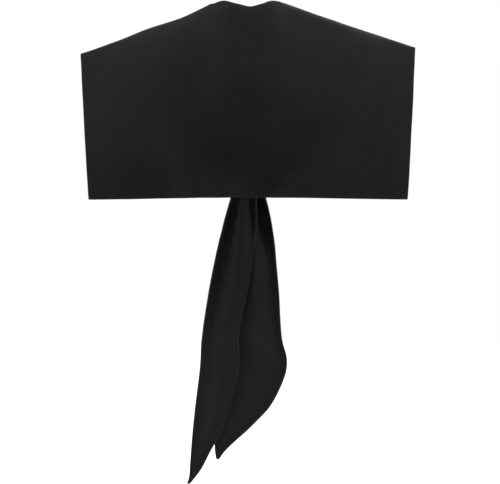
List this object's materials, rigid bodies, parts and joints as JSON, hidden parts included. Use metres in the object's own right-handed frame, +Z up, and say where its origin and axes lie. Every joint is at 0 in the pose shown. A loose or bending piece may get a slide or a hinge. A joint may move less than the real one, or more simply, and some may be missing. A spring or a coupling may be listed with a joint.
{
  "type": "sailor collar with tied front ends",
  "caption": "Black cloth sailor collar as worn: square back flap, sloping shoulders, open neck, two lapels meeting in a knot, and two pointed free ends that hang below it.",
  "frame": {"origin": "middle of the neck opening, level with the top of the neck roll, where the collar sits round a neck", "axes": "+Z up along the wearer's neck, +Y to the front where the knot is, +X to the wearer's right hand side as seen from behind"},
  "size_m": [0.4497, 0.2417, 0.6542],
  "materials": {
    "cloth": "soft matte black woven cloth with a faint sheen",
    "binding": "matte black bias strip"
  },
  "bodies": {
    "root": {"collar": "cloth", "neck_binding": "binding", "knot": "cloth", "long_tail": "cloth", "short_tail": "cloth"}
  },
  "joints": []
}
